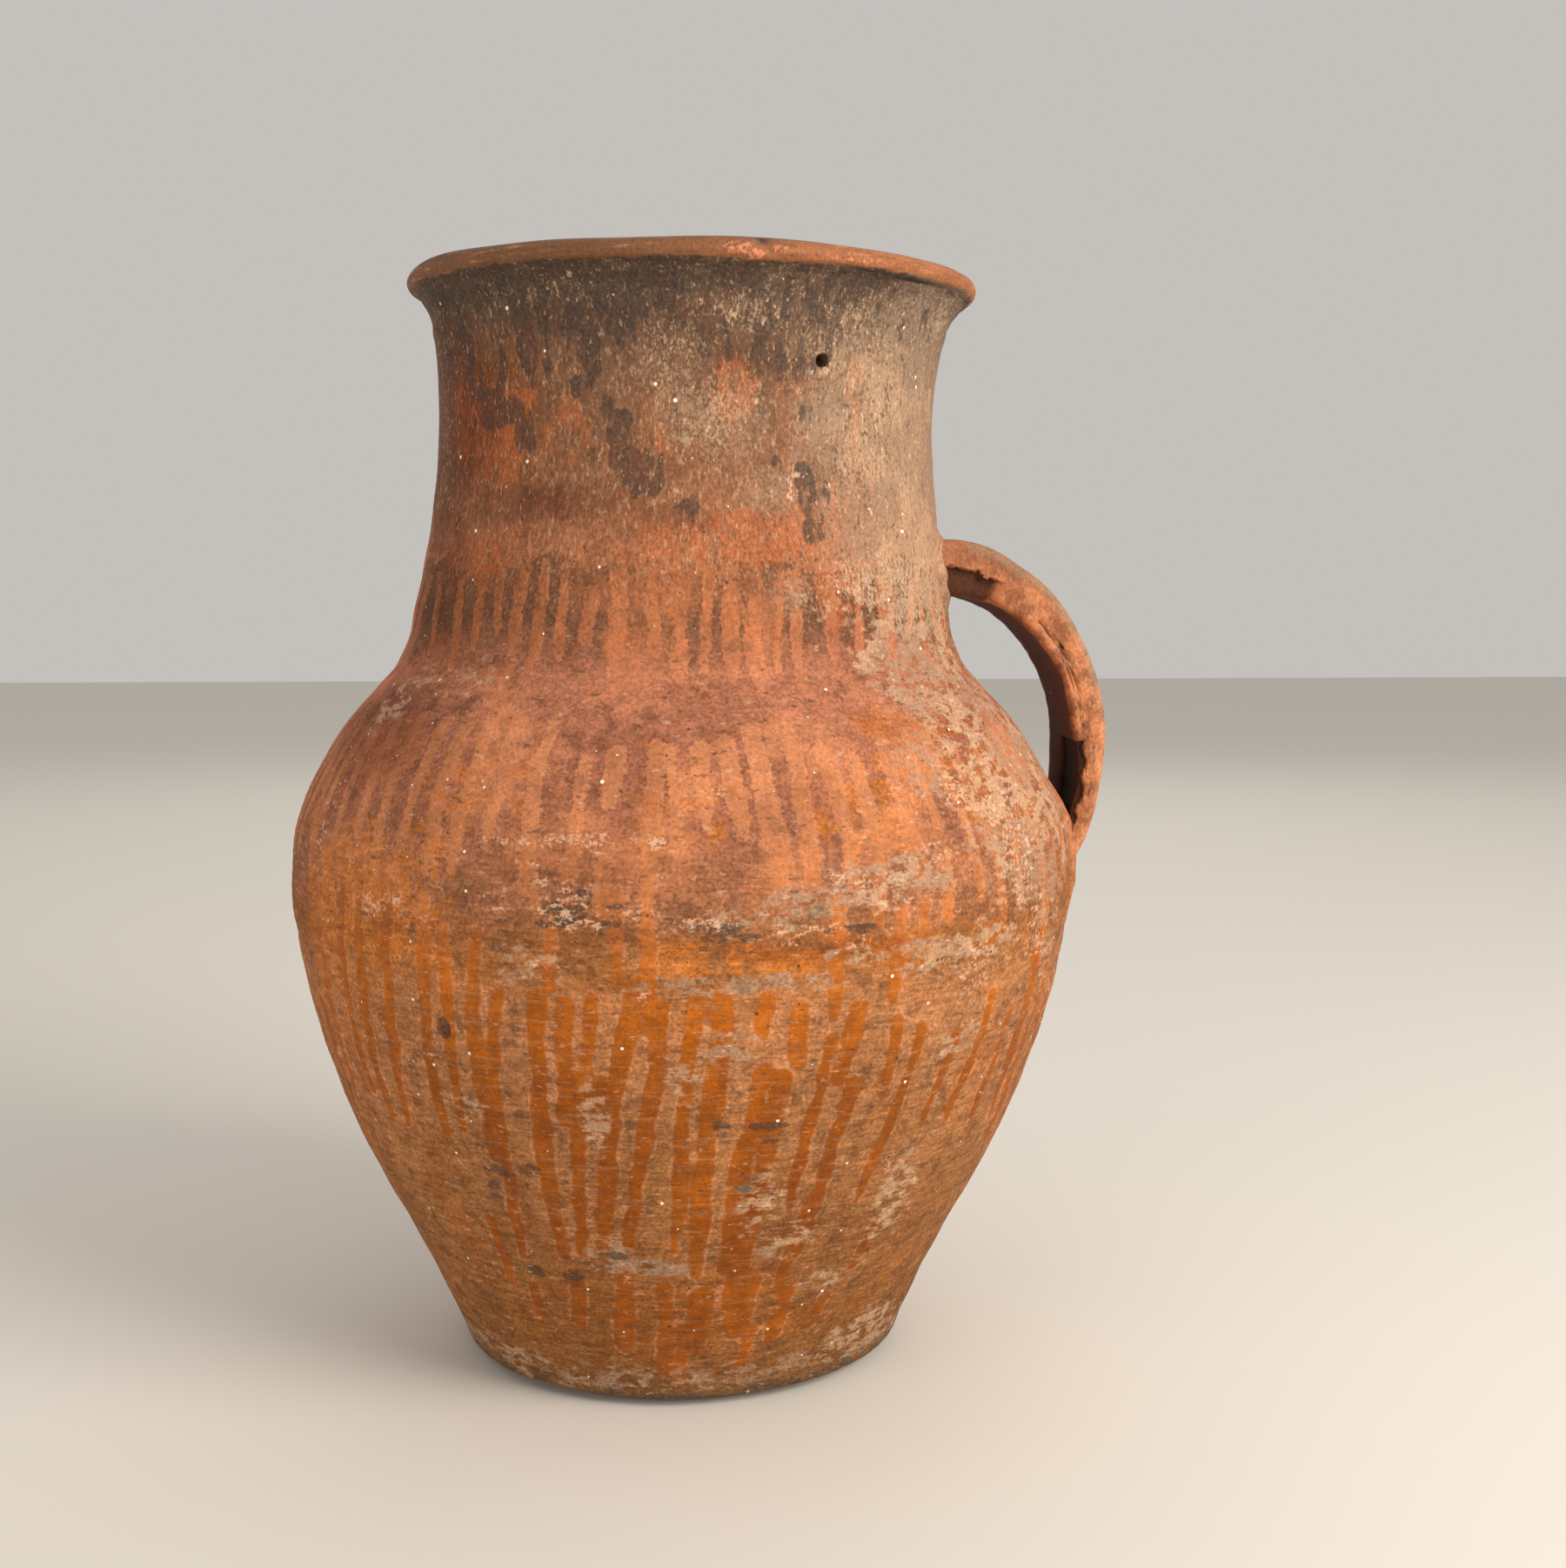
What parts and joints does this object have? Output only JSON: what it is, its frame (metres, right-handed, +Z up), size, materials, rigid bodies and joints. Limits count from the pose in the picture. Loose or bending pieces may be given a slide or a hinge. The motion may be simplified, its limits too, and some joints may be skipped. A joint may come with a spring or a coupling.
{
  "type": "earthenware amphora jug",
  "caption": "Tall rustic earthenware jug with a round belly, a wide waisted neck, a rolled rim and a strap handle, for holding and pouring liquid or for display.",
  "frame": {"origin": "centre of the foot, on the plane that the jug rests on", "axes": "+Z up along the jug's axis, towards the rim; +X towards the handle; +Y completes the right-handed frame"},
  "size_m": [0.2649, 0.2552, 0.35],
  "materials": {
    "bare_clay": "matt unglazed fired clay, abraded at the edge",
    "slipped_clay": "matt fired clay with orange slip runs, dust and fine scratches",
    "sooty_clay": "matt fired clay with smoke-darkened patches and pale dust",
    "rim_clay": "matt fired clay, rubbed smoother on the roll",
    "handle_clay": "matt fired clay with lengthwise cracks and worn grey edges"
  },
  "bodies": {
    "root": {"base_disc": "bare_clay", "lower_body": "slipped_clay", "upper_body": "slipped_clay", "neck": "sooty_clay", "rim_roll": "rim_clay", "strap_handle": "handle_clay", "upper_handle_lute": "handle_clay", "lower_handle_lute": "handle_clay"}
  },
  "joints": []
}
